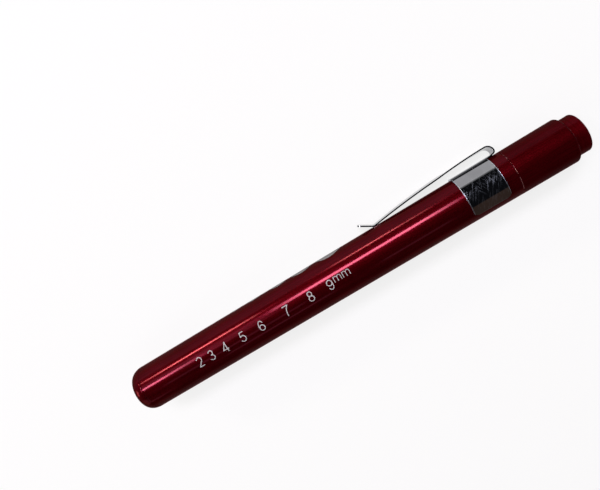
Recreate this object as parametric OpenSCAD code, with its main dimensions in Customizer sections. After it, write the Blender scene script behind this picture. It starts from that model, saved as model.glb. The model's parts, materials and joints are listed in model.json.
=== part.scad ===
// Penlight with a gauge barrel, a pocket clip and a push-button tail.
// It lies on its clip and its barrel. X is the axis, with the lens towards +X,
// and the origin is on the axis at the middle of the length.
// Each piece is drawn along Z first, from the nose at z = 0, with the clip towards +X,
// and lay() then puts it down.

/* [Cells] */
// Diameter of a cell over its sleeve
cell_d = 10.5; // [9.5:0.1:14.5]
// Length of a cell with its nub
cell_l = 44.5; // [38:0.5:52]
// Diameter of the positive nub
nub_d = 3.8; // [3.2:0.1:5]
// Height of the positive nub
nub_h = 0.9; // [0.6:0.1:1.3]
// Thickness of the cell's sleeve
sleeve_t = 0.1; // [0.06:0.02:0.2]
// Bevel on the can's shoulder and foot
can_bevel = 0.4; // [0.2:0.1:0.6]
// Diameter of the negative plate
plate_d = 6.4; // [5.6:0.2:7]
// Thickness of the negative plate and of its seal
plate_t = 0.8; // [0.5:0.1:1.5]
// Width of the seal around the negative plate
seal_w = 0.9; // [0.5:0.1:1]
// Room between a cell and the bore, on the radius
cell_play = 0.15; // [0.1:0.05:0.5]

/* [Barrel] */
// Length of the rounded nose rim
rim_l = 3.1; // [2:0.1:5]
// How far the nose rim draws in, on the radius
rim_draw = 1.9; // [1.2:0.1:2.1]
// Width of the groove behind the rim
groove_w = 0.3; // [0.15:0.05:0.6]
// Depth of the groove behind the rim
groove_depth = 0.12; // [0.05:0.01:0.25]
// Length of the threaded spigot
spigot_l = 5.8; // [4:0.2:9]
// Wall of the spigot under its thread
spigot_wall = 0.3; // [0.25:0.05:0.8]
// Depth of the thread
thread_depth = 0.25; // [0.15:0.05:0.4]
// Pitch of the thread
thread_pitch = 0.75; // [0.5:0.05:1.25]
// Room between the thread and the cap, on the radius
thread_play = 0.05; // [0.03:0.01:0.1]

/* [Front end] */
// Thickness of the nose lip
lip_t = 1.2; // [0.9:0.1:2]
// Diameter of the opening in the nose
opening_d = 8; // [6:0.1:8.2]
// Thickness of the lens gasket
gasket_t = 0.5; // [0.3:0.1:1]
// Thickness of the lens at its edge
lens_t = 1.5; // [1:0.1:2.5]
// Height of the lens's crown
lens_crown = 0.9; // [0.4:0.1:1.4]
// Length of the reflector
reflector_l = 8.8; // [8:0.1:12]
// Wall of the reflector
reflector_wall = 0.5; // [0.3:0.05:0.9]
// Diameter of the LED
led_d = 5; // [3:0.1:5.4]
// Length of the LED from its crown to its base
led_l = 8.6; // [7:0.1:9.2]
// Width of the LED's flange beyond its body
led_flange_w = 0.4; // [0.2:0.05:0.6]
// Thickness of the LED's flange
led_flange_t = 1; // [0.6:0.1:1.6]
// Diameter of an LED lead
lead_d = 0.5; // [0.4:0.05:0.7]
// Distance between the LED leads
lead_pitch = 2.54; // [2:0.02:2.54]
// Length of the leads between the LED and the board
lead_room = 2.4; // [1.5:0.1:4]
// How far the leads stand out behind the board
lead_tail = 0.4; // [0.2:0.1:0.8]
// Thickness of the circuit board
board_t = 1; // [0.8:0.1:1.6]
// Length of the LED holder
holder_l = 9.6; // [9:0.1:14]
// Thickness of the holder's front wall
holder_front_t = 1.6; // [1:0.1:2.4]
// Wall of the holder around the board
holder_wall = 0.6; // [0.4:0.05:0.9]
// Width of the ledge that carries the board
board_ledge = 0.75; // [0.4:0.05:1]
// Thickness of the ring that stops the front cell
stop_t = 1.4; // [1:0.1:2.5]
// Width of the ring that stops the front cell
stop_w = 1.2; // [0.8:0.1:1.6]
// Wire of the front contact spring
contact_wire_d = 0.45; // [0.3:0.05:0.5]
// Length of the series resistor
resistor_l = 2; // [1.2:0.1:2.6]
// Width of the series resistor
resistor_w = 1.2; // [0.6:0.1:1.6]
// Height of the series resistor
resistor_h = 0.5; // [0.3:0.1:0.8]
// Width of the earth strip
strip_w = 2; // [1.2:0.1:2.4]
// Thickness of the earth strip
strip_t = 0.2; // [0.15:0.05:0.3]
// Length of the earth strip along the barrel
strip_l = 2.6; // [1.5:0.1:3]
// Room around pieces that sit in a bore, on the radius
seat_play = 0.05; // [0.02:0.01:0.1]

/* [Tail] */
// Length of the tail cap
cap_l = 16.4; // [14.5:0.1:24]
// Wall of the tail cap around the thread
cap_wall = 0.5; // [0.4:0.05:1]
// Thickness of the cap's rear lip
cap_lip_t = 1.5; // [1:0.1:2]
// Rounding of the cap's rear edge
cap_round = 0.6; // [0.2:0.1:0.9]
// Bevel at the seam between the barrel and the cap
seam_bevel = 0.12; // [0.05:0.01:0.25]
// Gap at the seam
seam_gap = 0.05; // [0.03:0.01:0.15]
// Step on the radius from the cap down to the button
button_step = 1.05; // [0.95:0.05:2]
// How far the button stands out of the cap
button_out = 3.8; // [2.6:0.1:6]
// Travel of the button
button_travel = 2; // [1:0.1:2.2]
// Bevel on the button's end
button_bevel = 0.35; // [0.1:0.05:0.8]
// Thickness of the button's flange
button_flange_t = 1; // [0.6:0.1:1.4]
// Ledge in the cap that carries the switch
cap_ledge = 0.2; // [0.15:0.05:0.3]
// Diameter of the switch plunger
plunger_d = 4.3; // [3:0.1:6]
// Depth of the plunger's socket in the button
socket_depth = 4; // [2:0.1:5]
// Length of the battery spring in place
battery_spring_l = 13.7; // [10:0.1:20]
// Wire of the battery spring
battery_wire_d = 0.6; // [0.4:0.05:0.8]
// Turns of the front contact spring
contact_turns = 4; // [3:0.5:4]
// Turns of the battery spring
battery_turns = 7; // [5:1:9]
// Turns of the button's return spring
return_turns = 3.5; // [3:0.5:4]
// Wire of the button's return spring
return_wire_d = 0.3; // [0.2:0.05:0.35]
// Diameter of the switch body's front boss
boss_d = 8.4; // [7:0.1:9]
// Length of the switch body's front boss
boss_l = 3.1; // [2:0.1:5]
// Thickness of the switch body's flange
switch_flange_t = 1.3; // [0.8:0.1:2]
// Thickness of the switch body behind its flange
deck_t = 0.8; // [0.5:0.1:1.2]
// Thickness of the brass contacts
contact_t = 0.3; // [0.2:0.05:0.4]
// Diameter of the centre contact's shank
shank_d = 2.4; // [1.6:0.1:3]
// Diameter of the centre contact's rear head
rear_head_d = 3.8; // [3.4:0.1:5]
// Room between the contact disc and the return spring, on the radius
disc_room = 0.8; // [0.4:0.1:1.2]
// How far the ring contact reaches in under the disc
ring_lap = 1; // [0.6:0.1:1.2]
// Thickness of the switch retaining ring
retainer_t = 1.2; // [0.9:0.1:2]
// Gap between the spigot and the switch retaining ring
retainer_gap = 0.3; // [0.1:0.1:1]

/* [Clip] */
// Thickness of the clip's steel
clip_t = 0.4; // [0.3:0.05:0.6]
// Width of the clip's arm
clip_w = 4.5; // [3:0.1:6]
// Width of the arm's tip
clip_tip_w = 3.4; // [2.4:0.1:6]
// Width of the band along the barrel
band_w = 10.6; // [6:0.1:16]
// How far round the band goes, in degrees
band_wrap = 278; // [220:1:300]
// Rounding of the band's corners
band_corner = 1.3; // [0.5:0.1:2.5]
// Distance from the band to the seam
band_to_seam = 3.5; // [2.5:0.1:12]
// Length of the neck between the band and the loop
neck_l = 2.1; // [1.5:0.1:6]
// Radius of the loop's lower bend in the middle of the steel
neck_bend_r = 0.8; // [0.6:0.05:1.8]
// Radius of the loop's upper bend in the middle of the steel
loop_r = 1.8; // [1:0.05:2.5]
// Distance from the loop to where the arm meets the barrel
clip_reach = 35; // [24:0.5:50]
// Radius of the bend at the tip
tip_bend_r = 2.2; // [1.5:0.1:5]
// Angle of the upturned tip, in degrees
tip_angle = 26; // [15:1:40]
// Length of the upturned tip
tip_l = 3.8; // [2:0.1:6]
// Room between the arm's tip and the barrel
tip_gap = 0.05; // [0.03:0.01:0.15]
// Room between the band and the barrel
band_play = 0.02; // [0.01:0.01:0.05]
// Angle left open in the loop for the arm's flexing
flex_gap = 9; // [8:0.5:12]

/* [Hidden] */
$fn = 96;

// Small fixed clearances and the fineness of curves drawn point by point
skin_gap = 0.01;
spring_gap = 0.02;
stop_gap = 0.02;
curve_steps = 12;
coil_rings = 16;
coil_sides = 8;
// Rise of a spring's closed turn, in wire diameters
closed_rise = 1.2;
// One ridge of the thread, as [share of the pitch, share of the depth]
ridge = [[0.1, 0], [0.35, 1], [0.6, 1], [0.85, 0]];

// Radii, from the cells outwards
cell_r = cell_d / 2;
can_r = cell_r - sleeve_t - skin_gap;
plate_r = plate_d / 2;
bore_r = cell_r + cell_play;
seat_r = bore_r - seat_play;
root_r = bore_r + spigot_wall;
thread_r = root_r + thread_depth;
cap_bore_r = thread_r + thread_play;
barrel_r = cap_bore_r + cap_wall;

// Radii of the front end
opening_r = opening_d / 2;
crown_r = opening_r - 2 * seat_play;
gasket_r = opening_r + 6 * seat_play;
led_r = led_d / 2;
led_hole_r = led_r + seat_play;
led_flange_r = led_r + led_flange_w;
mouth_r = seat_r - reflector_wall;
throat_r = led_r + 2 * seat_play;
board_seat_r = seat_r - holder_wall;
chamber_r = board_seat_r - board_ledge;
board_r = board_seat_r - seat_play;
lead_hole_d = lead_d + 4 * seat_play;
stop_r = bore_r - stop_w;

// Radii of the tail
rear_bore_r = cap_bore_r - cap_ledge;
flange_r = rear_bore_r - seat_play;
button_r = barrel_r - button_step;
plunger_r = plunger_d / 2;
socket_r = plunger_r + seat_play;
boss_r = boss_d / 2;
head_r = boss_r - 4 * seat_play;
shank_r = shank_d / 2;
rear_head_r = rear_head_d / 2;
return_r = rear_bore_r - 4 * seat_play - return_wire_d / 2;
disc_r = return_r - return_wire_d / 2 - disc_room;
ring_r = disc_r - ring_lap;

// Stations along the axis, from the nose to the tail
z_lens = lip_t + gasket_t;
z_reflector = z_lens + lens_t;
z_holder = z_reflector + reflector_l;
z_led_flange = z_holder + holder_front_t;
z_led_base = z_led_flange + led_flange_t;
z_led_crown = z_led_base - led_l;
z_board = z_led_base + lead_room;
z_board_back = z_board + board_t;
z_stop = z_holder + holder_l;
z_shoulder = z_stop + stop_t;
z_front_nub = z_shoulder - nub_h;
z_rear_nub = z_front_nub + cell_l;
z_cells_end = z_rear_nub + cell_l;
z_head = z_cells_end + battery_spring_l;
z_boss = z_head + contact_t;
z_flange = z_boss + boss_l;
z_retainer = z_flange - retainer_t;
z_spigot_end = z_retainer - retainer_gap;
z_seam = z_spigot_end - spigot_l;
z_ledge = z_flange + switch_flange_t;
z_deck = z_ledge + deck_t;
z_contacts = z_deck + contact_t;
z_disc = z_contacts + button_travel + stop_gap;
z_disc_back = z_disc + contact_t;
z_cap_end = z_seam + cap_l;
z_lip = z_cap_end - cap_lip_t;
z_button_back = z_lip - stop_gap;
z_button_flange = z_button_back - button_flange_t;
z_socket = z_button_flange + socket_depth;
z_end = z_cap_end + button_out;

// The clip: its band, its loop and the bow of its arm
band_r = barrel_r + band_play;
band_out_r = band_r + clip_t;
z_band_back = z_seam - band_to_seam;
z_band_front = z_band_back - band_w;
z_neck_bend = z_band_back + neck_l;
z_loop = z_neck_bend + neck_bend_r - loop_r;
loop_h = band_r + clip_t / 2 + neck_bend_r;
arm_h = loop_h + loop_r;
tip_h = barrel_r + tip_gap + clip_t / 2;
bow_angle = 2 * atan((arm_h - tip_h) / clip_reach);
bow_r = clip_reach / sin(bow_angle) - tip_bend_r;
z_tip_bend = z_loop - clip_reach;
z_tip_end = z_tip_bend - tip_bend_r * sin(tip_angle) - tip_l * cos(tip_angle);

// The lying pose: the band's underside and the clip's edge meet one plane
clip_top = arm_h + clip_t / 2;
rest_tilt = asin(band_out_r / norm([clip_top, clip_w / 2])) - atan(clip_w / 2 / clip_top);

// From the drawing position to the lying pose
module lay() {
    translate([z_end / 2, 0, 0])
        rotate([90 + rest_tilt, 0, 0])
            rotate([0, -90, 0])
                children();
}

// A turned piece, from the outline [radius, z] of its half section
module turned(outline) {
    rotate_extrude() polygon(outline);
}

// A plain ring or disc between two radii and two stations
module ring(inner_r, outer_r, z0, z1) {
    turned([[inner_r, z0], [outer_r, z0], [outer_r, z1], [inner_r, z1]]);
}

// A wound spring between two stations, with one closed turn at each end
module coil(z0, z1, r0, r1, wire_d, turns) {
    rings = turns * coil_rings;
    height = z1 - z0 - wire_d - 2 * spring_gap;
    closed = closed_rise * wire_d;
    slope = (height - 2 * closed) / (turns - 2);
    function rise(u) =
        u < 1 ? closed * u
        : u > turns - 1 ? height - closed * (turns - u)
        : closed + slope * (u - 1);
    points = [
        for (k = [0 : rings])
            let (
                u = k / coil_rings,
                r = r0 + (r1 - r0) * k / rings,
                z = z0 + spring_gap + wire_d / 2 + rise(u)
            )
            for (j = [0 : coil_sides - 1])
                let (
                    a = 360 * j / coil_sides,
                    reach = r + wire_d / 2 * cos(a)
                )
                [reach * cos(360 * u), reach * sin(360 * u), z + wire_d / 2 * sin(a)]
    ];
    last = rings * coil_sides;
    faces = concat(
        [
            for (k = [0 : rings - 1], j = [0 : coil_sides - 1])
                let (
                    a = k * coil_sides + j,
                    b = k * coil_sides + (j + 1) % coil_sides
                )
                each [[a, b, b + coil_sides], [a, b + coil_sides, a + coil_sides]]
        ],
        [for (j = [1 : coil_sides - 2]) [0, j + 1, j]],
        [for (j = [1 : coil_sides - 2]) [last, last + j, last + j + 1]]
    );
    polyhedron(points, faces);
}

// The tube from its rounded nose to its threaded spigot
module barrel() {
    rim = [
        for (i = [curve_steps : -1 : 0])
            let (a = 90 * i / curve_steps)
            [barrel_r - rim_draw + rim_draw * cos(a), rim_l - rim_l * sin(a)]
    ];
    groove_z = rim_l + groove_w / 2;
    groove = [
        [barrel_r, groove_z],
        [barrel_r - groove_depth, groove_z + groove_w / 2],
        [barrel_r, groove_z + groove_w]
    ];
    thread = [
        for (i = [0 : floor(spigot_l / thread_pitch) - 1])
            for (p = ridge)
                [root_r + thread_depth * p[1], z_seam + thread_pitch * (i + p[0])]
    ];
    color("firebrick") lay() turned(concat(
        rim,
        groove,
        [[barrel_r, z_seam - seam_bevel], [barrel_r - seam_bevel, z_seam], [root_r, z_seam]],
        thread,
        [[root_r, z_spigot_end], [bore_r, z_spigot_end], [bore_r, lip_t]],
        [[opening_r, lip_t], [opening_r, lip_t / 2], [opening_r + lip_t / 4, 0]]
    ));
}

module lens_gasket() {
    color("black") lay() ring(gasket_r, seat_r, lip_t, z_lens);
}

// A clear disc whose crown fills the opening in the nose
module lens() {
    ball_r = (crown_r * crown_r + lens_crown * lens_crown) / (2 * lens_crown);
    crown_angle = asin(crown_r / ball_r);
    crown = [
        for (i = [0 : curve_steps])
            let (a = crown_angle * i / curve_steps)
            [ball_r * sin(a), z_lens - lens_crown + ball_r * (1 - cos(a))]
    ];
    color("lightcyan") lay() turned(concat(
        crown, [[seat_r, z_lens], [seat_r, z_reflector], [0, z_reflector]]
    ));
}

// A parabolic cup between the lens and the LED holder
module reflector() {
    function cup_r(t) = sqrt((1 - t) * mouth_r * mouth_r + t * throat_r * throat_r);
    steps = [for (i = [0 : curve_steps]) i / curve_steps];
    inner = [for (t = steps) [cup_r(t), z_reflector + reflector_l * t]];
    outer = [for (t = steps) [cup_r(t) + reflector_wall, z_reflector + reflector_l * t]];
    color("gainsboro") lay() turned(concat(
        inner, [for (i = [curve_steps : -1 : 0]) outer[i]]
    ));
}

// Round LED with a flange that has one flat
module led() {
    dome = [
        for (i = [0 : curve_steps])
            let (a = 90 * i / curve_steps)
            [led_r * sin(a), z_led_crown + led_r * (1 - cos(a))]
    ];
    color("white") lay() difference() {
        turned(concat(dome, [
            [led_r, z_led_flange], [led_flange_r, z_led_flange],
            [led_flange_r, z_led_base], [0, z_led_base]
        ]));
        translate([-led_flange_r, led_r + led_flange_w / 4, z_led_flange])
            cube([2 * led_flange_r, led_flange_w, led_flange_t]);
    }
}

module led_leads() {
    color("silver") lay()
        for (side = [-1, 1])
            translate([0, side * lead_pitch / 2, z_led_base])
                cylinder(d = lead_d, h = lead_room + board_t + lead_tail);
}

// Insulating carrier for the LED and its board, with a slot for the earth strip
module led_holder() {
    slot_w = strip_w + 4 * seat_play;
    color("whitesmoke") lay() difference() {
        turned([
            [led_hole_r, z_holder], [seat_r, z_holder], [seat_r, z_stop],
            [board_seat_r, z_stop], [board_seat_r, z_board],
            [chamber_r, z_board], [chamber_r, z_led_base],
            [led_flange_r + seat_play, z_led_base],
            [led_flange_r + seat_play, z_led_flange], [led_hole_r, z_led_flange]
        ]);
        translate([-bore_r, -slot_w / 2, z_board_back])
            cube([2 * holder_wall, slot_w, holder_l]);
    }
}

module led_board() {
    color("seagreen") lay() difference() {
        translate([0, 0, z_board]) cylinder(r = board_r, h = board_t);
        for (side = [-1, 1])
            translate([0, side * lead_pitch / 2, z_board - board_t / 2])
                cylinder(d = lead_hole_d, h = 2 * board_t);
    }
}

module series_resistor() {
    centre_r = (board_r + lead_pitch / 2 + lead_d) / 2;
    color("dimgray") lay()
        translate([centre_r, 0, z_board_back + resistor_h / 2])
            cube([resistor_w, resistor_l, resistor_h], center = true);
}

// Brass strip from the board's back to the barrel's wall
module earth_strip() {
    outer_x = sqrt(seat_r * seat_r - strip_w * strip_w / 4);
    foot_l = outer_x - chamber_r + board_ledge;
    color("goldenrod") lay()
        translate([-outer_x, -strip_w / 2, z_board_back])
            union() {
                cube([foot_l, strip_w, strip_t]);
                cube([strip_t, strip_w, strip_l]);
            }
}

module cell_stop_ring() {
    color("ivory") lay() ring(stop_r, seat_r, z_stop, z_shoulder);
}

// Front contact, from the board to the front cell's nub
module contact_spring() {
    foot_r = lead_pitch / 2 + lead_d + contact_wire_d / 2;
    tip_r = nub_d / 2 - contact_wire_d;
    color("silver") lay()
        coil(z_board_back, z_front_nub, foot_r, tip_r, contact_wire_d, contact_turns);
}

// The steel can of a cell, with its nub and the recess for its plate
module cell_can(z0) {
    z_top = z0 + nub_h;
    z_foot = z0 + cell_l;
    recess_r = plate_r + seal_w + skin_gap;
    color("lightsteelblue") lay() turned([
        [0, z0], [nub_d / 2, z0], [nub_d / 2, z_top],
        [can_r - can_bevel, z_top], [can_r, z_top + can_bevel],
        [can_r, z_foot - can_bevel], [can_r - can_bevel, z_foot],
        [recess_r, z_foot], [recess_r, z_foot - plate_t], [0, z_foot - plate_t]
    ]);
}

module cell_sleeve(z0) {
    color("dimgray") lay()
        ring(cell_r - sleeve_t, cell_r, z0 + nub_h + can_bevel, z0 + cell_l - can_bevel);
}

module cell_plate(z0) {
    color("silver") lay()
        translate([0, 0, z0 + cell_l - plate_t]) cylinder(r = plate_r, h = plate_t);
}

module cell_seal(z0) {
    color("black") lay()
        ring(plate_r + skin_gap, plate_r + seal_w, z0 + cell_l - plate_t, z0 + cell_l);
}

module front_cell_can() cell_can(z_front_nub);
module front_cell_sleeve() cell_sleeve(z_front_nub);
module front_cell_plate() cell_plate(z_front_nub);
module front_cell_seal() cell_seal(z_front_nub);
module rear_cell_can() cell_can(z_rear_nub);
module rear_cell_sleeve() cell_sleeve(z_rear_nub);
module rear_cell_plate() cell_plate(z_rear_nub);
module rear_cell_seal() cell_seal(z_rear_nub);

// Conical spring from the rear cell's plate to the centre contact
module battery_spring() {
    color("silver") lay() coil(
        z_cells_end, z_head,
        plate_r - battery_wire_d, head_r - battery_wire_d, battery_wire_d, battery_turns
    );
}

// Brass rivet through the switch body
module centre_contact() {
    color("goldenrod") lay() turned([
        [0, z_head], [head_r, z_head], [head_r, z_boss], [shank_r, z_boss],
        [shank_r, z_deck], [rear_head_r, z_deck], [rear_head_r, z_contacts], [0, z_contacts]
    ]);
}

module switch_body() {
    hole_r = shank_r + seat_play;
    color("darkslategray") lay() turned([
        [hole_r, z_boss], [boss_r, z_boss], [boss_r, z_flange],
        [thread_r, z_flange], [thread_r, z_ledge],
        [flange_r, z_ledge], [flange_r, z_deck], [hole_r, z_deck]
    ]);
}

// Threaded ring that holds the switch in the cap, with two notches for a key
module switch_retainer() {
    notch_w = retainer_t;
    color("silver") lay() difference() {
        ring(boss_r + seat_play, thread_r, z_retainer, z_flange);
        for (side = [0, 180])
            rotate([0, 0, side])
                translate([boss_r, -notch_w / 2, z_retainer - retainer_t / 2])
                    cube([cap_bore_r, notch_w, retainer_t]);
    }
}

module ring_contact() {
    color("goldenrod") lay() ring(ring_r, flange_r, z_deck, z_contacts);
}

// Brass disc on the plunger that bridges the ring and the centre contact
module contact_disc() {
    color("goldenrod") lay()
        translate([0, 0, z_disc]) cylinder(r = disc_r, h = contact_t);
}

module switch_plunger() {
    color("ivory") lay()
        translate([0, 0, z_disc_back]) cylinder(r = plunger_r, h = z_socket - z_disc_back);
}

module button_spring() {
    color("silver") lay()
        coil(z_contacts, z_button_flange, return_r, return_r, return_wire_d, return_turns);
}

module tail_button() {
    color("firebrick") lay() turned([
        [socket_r, z_button_flange], [flange_r, z_button_flange], [flange_r, z_button_back],
        [button_r, z_button_back], [button_r, z_end - button_bevel],
        [button_r - button_bevel, z_end], [0, z_end], [0, z_socket], [socket_r, z_socket]
    ]);
}

module tail_cap() {
    edge = [
        for (i = [0 : curve_steps])
            let (a = 90 * i / curve_steps)
            [barrel_r - cap_round + cap_round * cos(a), z_cap_end - cap_round + cap_round * sin(a)]
    ];
    hole_r = button_r + seat_play;
    z_mouth = z_seam + seam_gap;
    color("firebrick") lay() turned(concat(
        [[cap_bore_r, z_mouth], [barrel_r - seam_bevel, z_mouth], [barrel_r, z_mouth + seam_bevel]],
        edge,
        [[hole_r, z_cap_end], [hole_r, z_lip], [rear_bore_r, z_lip]],
        [[rear_bore_r, z_ledge], [cap_bore_r, z_ledge]]
    ));
}

// Turns a side view, drawn as [z, height above the axis], to the clip's plane
module side_view() {
    rotate([-90, -90, 0]) children();
}

// A bent stretch of the clip's strip about [z, height], between two angles
module bend(z, h, r, from, to) {
    side_view()
        translate([z, h, -clip_w / 2])
            rotate([0, 0, from])
                rotate_extrude(angle = to - from)
                    translate([r - clip_t / 2, 0]) square([clip_t, clip_w]);
}

// What the rounding of one corner takes off the band, around the corner's own centre
module corner_waste(side) {
    difference() {
        translate([0, side > 0 ? 0 : -2 * band_corner, 0])
            cube([2 * band_out_r, 2 * band_corner, 2 * band_corner]);
        rotate([0, 90, 0]) cylinder(r = band_corner, h = 5 * band_out_r, center = true);
    }
}

// The open band around the barrel, its neck and the loop's lower bend
module clip_band() {
    corner_angle = band_corner / band_out_r * 180 / PI;
    color("lightgray") lay() union() {
        difference() {
            rotate([0, 0, -band_wrap / 2])
                rotate_extrude(angle = band_wrap)
                    translate([band_r, z_band_front]) square([clip_t, band_w]);
            for (side = [-1, 1])
                rotate([0, 0, side * (band_wrap / 2 - corner_angle)]) {
                    translate([0, 0, z_band_back - band_corner]) corner_waste(side);
                    translate([0, 0, z_band_front + band_corner])
                        mirror([0, 0, 1]) corner_waste(side);
                }
        }
        difference() {
            translate([barrel_r / 2, -clip_w / 2, z_band_back - clip_t])
                cube([band_out_r - barrel_r / 2, clip_w, neck_l + clip_t]);
            cylinder(r = band_r, h = 2 * z_end);
        }
        bend(z_neck_bend, loop_h, neck_bend_r, -90, -flex_gap / 2);
    }
}

// Points on an arc of the clip's side view
function arc_points(z, h, r, from, to) = [
    for (i = [0 : curve_steps])
        let (a = from + (to - from) * i / curve_steps)
        [z + r * cos(a), h + r * sin(a)]
];

// One face of the arm in side view, from the loop to the end of the tip
function arm_face(offset) =
    let (
        h = tip_h + tip_bend_r,
        r = tip_bend_r - offset,
        a = -90 - tip_angle,
        tip_start = [z_tip_bend + r * cos(a), h + r * sin(a)]
    )
    concat(
        arc_points(z_loop, loop_h, loop_r + offset, flex_gap / 2, 90),
        arc_points(z_loop, arm_h - bow_r, bow_r + offset, 90, 90 + bow_angle),
        arc_points(z_tip_bend, h, r, -90 + bow_angle, a),
        [tip_start + tip_l * [sin(a), -cos(a)]]
    );

// The loop's upper bend, the bowed arm and its upturned tip
module clip_arm() {
    top = arm_face(clip_t / 2);
    underside = arm_face(-clip_t / 2);
    tip_r = clip_tip_w / 2;
    nose_end = [
        for (i = [0 : 2 * curve_steps])
            let (a = 90 + 90 * i / curve_steps)
            [z_tip_end + tip_r + tip_r * cos(a), tip_r * sin(a)]
    ];
    z_back = z_loop + loop_r + clip_t;
    plan = concat(
        nose_end,
        [[z_loop, -clip_w / 2], [z_back, -clip_w / 2], [z_back, clip_w / 2], [z_loop, clip_w / 2]]
    );
    color("lightgray") lay() intersection() {
        side_view()
            translate([0, 0, -clip_w])
                linear_extrude(2 * clip_w)
                    polygon(concat(top, [for (i = [len(underside) - 1 : -1 : 0]) underside[i]]));
        rotate([0, -90, 0])
            translate([0, 0, -2 * clip_top])
                linear_extrude(2 * clip_top) polygon(plan);
    }
}

barrel();
lens_gasket();
lens();
reflector();
led();
led_leads();
led_holder();
led_board();
series_resistor();
earth_strip();
cell_stop_ring();
contact_spring();
front_cell_can();
front_cell_sleeve();
front_cell_plate();
front_cell_seal();
rear_cell_can();
rear_cell_sleeve();
rear_cell_plate();
rear_cell_seal();
battery_spring();
centre_contact();
switch_body();
switch_retainer();
ring_contact();
contact_disc();
switch_plunger();
button_spring();
tail_button();
tail_cap();
clip_band();
clip_arm();
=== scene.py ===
# %% [markdown]
# # A red penlight with a pupil gauge
# The penlight is a slim tube of red anodised aluminium, with a screwed tail cap, a push button, a pocket
# clip bent from one strip of polished spring steel, and a printed gauge of dots and numbers. The frame
# brings the solids at their real size and place, in metres. Everything below is modelled around them, and
# nothing in the frame is moved.

# %% Load the frame
import json
import math

import bpy
from mathutils import Matrix, Vector


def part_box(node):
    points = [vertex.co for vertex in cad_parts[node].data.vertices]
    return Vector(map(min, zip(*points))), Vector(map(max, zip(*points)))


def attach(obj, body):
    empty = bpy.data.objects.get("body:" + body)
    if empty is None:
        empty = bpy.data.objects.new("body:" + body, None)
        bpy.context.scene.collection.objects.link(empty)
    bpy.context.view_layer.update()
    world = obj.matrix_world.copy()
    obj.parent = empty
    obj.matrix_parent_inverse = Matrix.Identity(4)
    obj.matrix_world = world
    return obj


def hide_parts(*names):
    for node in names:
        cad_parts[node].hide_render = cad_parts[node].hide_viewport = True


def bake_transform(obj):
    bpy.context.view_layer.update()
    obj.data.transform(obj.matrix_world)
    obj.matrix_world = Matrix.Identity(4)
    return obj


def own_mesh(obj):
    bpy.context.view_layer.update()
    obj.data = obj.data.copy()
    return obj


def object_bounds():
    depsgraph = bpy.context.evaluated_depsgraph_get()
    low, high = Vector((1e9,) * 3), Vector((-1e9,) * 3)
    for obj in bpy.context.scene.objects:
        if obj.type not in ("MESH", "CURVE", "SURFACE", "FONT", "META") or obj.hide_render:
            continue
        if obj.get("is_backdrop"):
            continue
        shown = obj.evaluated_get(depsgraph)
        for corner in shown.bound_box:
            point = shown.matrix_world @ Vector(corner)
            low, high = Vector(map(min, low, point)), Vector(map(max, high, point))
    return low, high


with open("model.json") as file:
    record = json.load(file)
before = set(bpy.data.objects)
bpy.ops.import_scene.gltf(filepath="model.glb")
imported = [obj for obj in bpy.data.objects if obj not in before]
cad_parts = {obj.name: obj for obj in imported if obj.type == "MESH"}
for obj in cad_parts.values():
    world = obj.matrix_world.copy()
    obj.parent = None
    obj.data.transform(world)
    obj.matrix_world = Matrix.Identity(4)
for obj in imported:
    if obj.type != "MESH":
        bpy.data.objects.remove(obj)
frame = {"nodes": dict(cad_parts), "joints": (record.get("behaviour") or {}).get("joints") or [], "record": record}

cad_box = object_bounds()
MM = 0.001

# %% [markdown]
# ## Directions on the barrel
# A round barrel has no sides, so two lines along it stand in for them: the line under the clip, and the
# line a quarter turn away that faces the viewer. The clip's hinge lies along that second direction, so
# both lines are taken from the frame's joint and not typed in.

# %% Lines along the barrel
joints = {joint["name"]: joint for joint in frame["joints"]}
ALONG = Vector((1, 0, 0))
FACING = -Vector(joints["clip_flex"]["axis"]).normalized()
CLIPWARD = ALONG.cross(FACING)
LAY_TURN = math.atan2(-CLIPWARD.y, CLIPWARD.z)


def around(x, angle, radius):
    """A point beside the axis: at x, turned from the facing line towards the clip, at a radius."""
    return ALONG * x + radius * (FACING * math.cos(angle) + CLIPWARD * math.sin(angle))


print("the clip line lies", round(math.degrees(LAY_TURN), 2), "degrees from upright")

# %% [markdown]
# ## The camera
# A perspective fit of the barrel's two edges gives the lens, the slope and the lean of the axis in the
# picture, and the place of the part's origin before the lens. Those few numbers place the camera exactly,
# which is better than turning it by eye. They are written as the viewer sees them: right, down and
# forward.

# %% Camera
IMAGE_W = 600
SENSOR_W = 36.0
FOCAL_PIXELS = 500
AXIS_SLOPE = math.radians(31.39)
AXIS_LEAN = math.radians(7.35)
ORIGIN_SEEN = Vector((13.164, 6.974, 139.874)) * MM

nose_seen = Vector((
    -math.cos(AXIS_SLOPE) * math.cos(AXIS_LEAN),
    math.sin(AXIS_SLOPE) * math.cos(AXIS_LEAN),
    math.sin(AXIS_LEAN),
))
away_seen = (ORIGIN_SEEN - nose_seen * ORIGIN_SEEN.dot(nose_seen)).normalized()
clip_seen = away_seen.cross(nose_seen)


def from_view(seen):
    """Turns a direction of the picture (right, down, forward) into the part's frame."""
    return ALONG * seen.dot(nose_seen) + CLIPWARD * seen.dot(clip_seen) - FACING * seen.dot(away_seen)


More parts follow.
